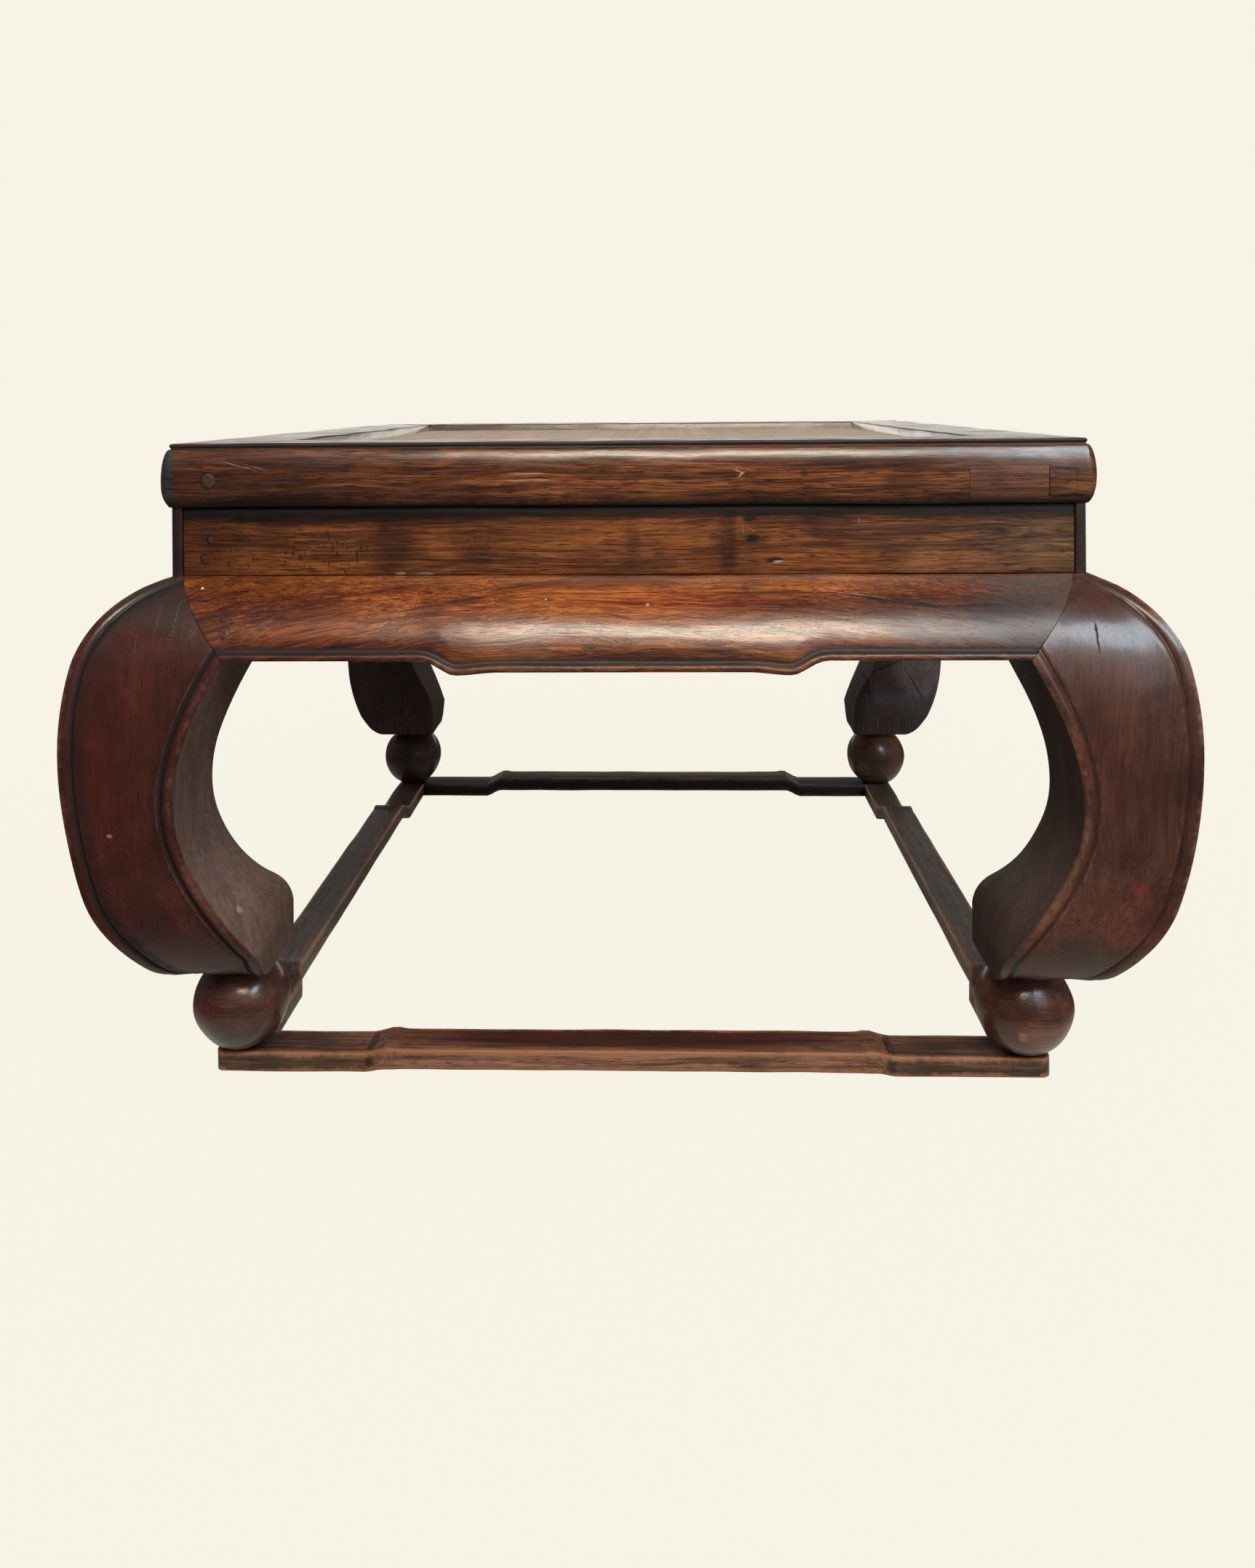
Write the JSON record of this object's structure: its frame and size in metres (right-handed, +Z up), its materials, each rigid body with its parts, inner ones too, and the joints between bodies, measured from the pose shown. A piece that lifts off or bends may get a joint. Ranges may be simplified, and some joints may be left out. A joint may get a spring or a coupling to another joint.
{
  "type": "kang table",
  "caption": "Low table with a framed woven top, recessed waist, bulging aprons, drum-shaped legs with inturned feet, balls under the feet and a humpbacked base frame.",
  "frame": {"origin": "on the floor under the middle of the table", "axes": "+X to the right seen from the front, +Y to the back, +Z up; the front faces -Y"},
  "size_m": [0.7266, 0.7666, 0.44],
  "materials": {
    "hardwood": "worn oiled dark hardwood, orange-brown grain",
    "hardwood_dark": "polished dark red-brown hardwood",
    "hardwood_patch": "oiled repair wood, slightly lighter",
    "peg_wood": "end grain of round wooden pegs",
    "underboard": "plain sawn board, unfinished",
    "mat_weave": "fine woven rush or cane matting, matt"
  },
  "bodies": {
    "root": {"top_rail_front": "hardwood", "top_rail_back": "hardwood", "top_rail_left": "hardwood", "top_rail_right": "hardwood", "top_rail_slip": "hardwood_patch", "top_rail_peg": "peg_wood", "woven_mat": "mat_weave", "mat_board": "underboard", "mat_batten_front": "underboard", "mat_batten_back": "underboard", "waist_front": "hardwood", "waist_back": "hardwood", "waist_left": "hardwood", "waist_right": "hardwood", "waist_pegs": "peg_wood", "apron_front": "hardwood", "apron_back": "hardwood", "apron_left": "hardwood", "apron_right": "hardwood", "apron_pegs": "peg_wood", "leg_front_left": "hardwood_dark", "leg_front_right": "hardwood_dark", "leg_back_left": "hardwood_dark", "leg_back_right": "hardwood_dark", "ball_front_left": "hardwood_dark", "ball_front_right": "hardwood_dark", "ball_back_left": "hardwood_dark", "ball_back_right": "hardwood_dark", "base_rail_front": "hardwood_dark", "base_rail_back": "hardwood_dark", "base_rail_left": "hardwood_dark", "base_rail_right": "hardwood_dark"}
  },
  "joints": []
}
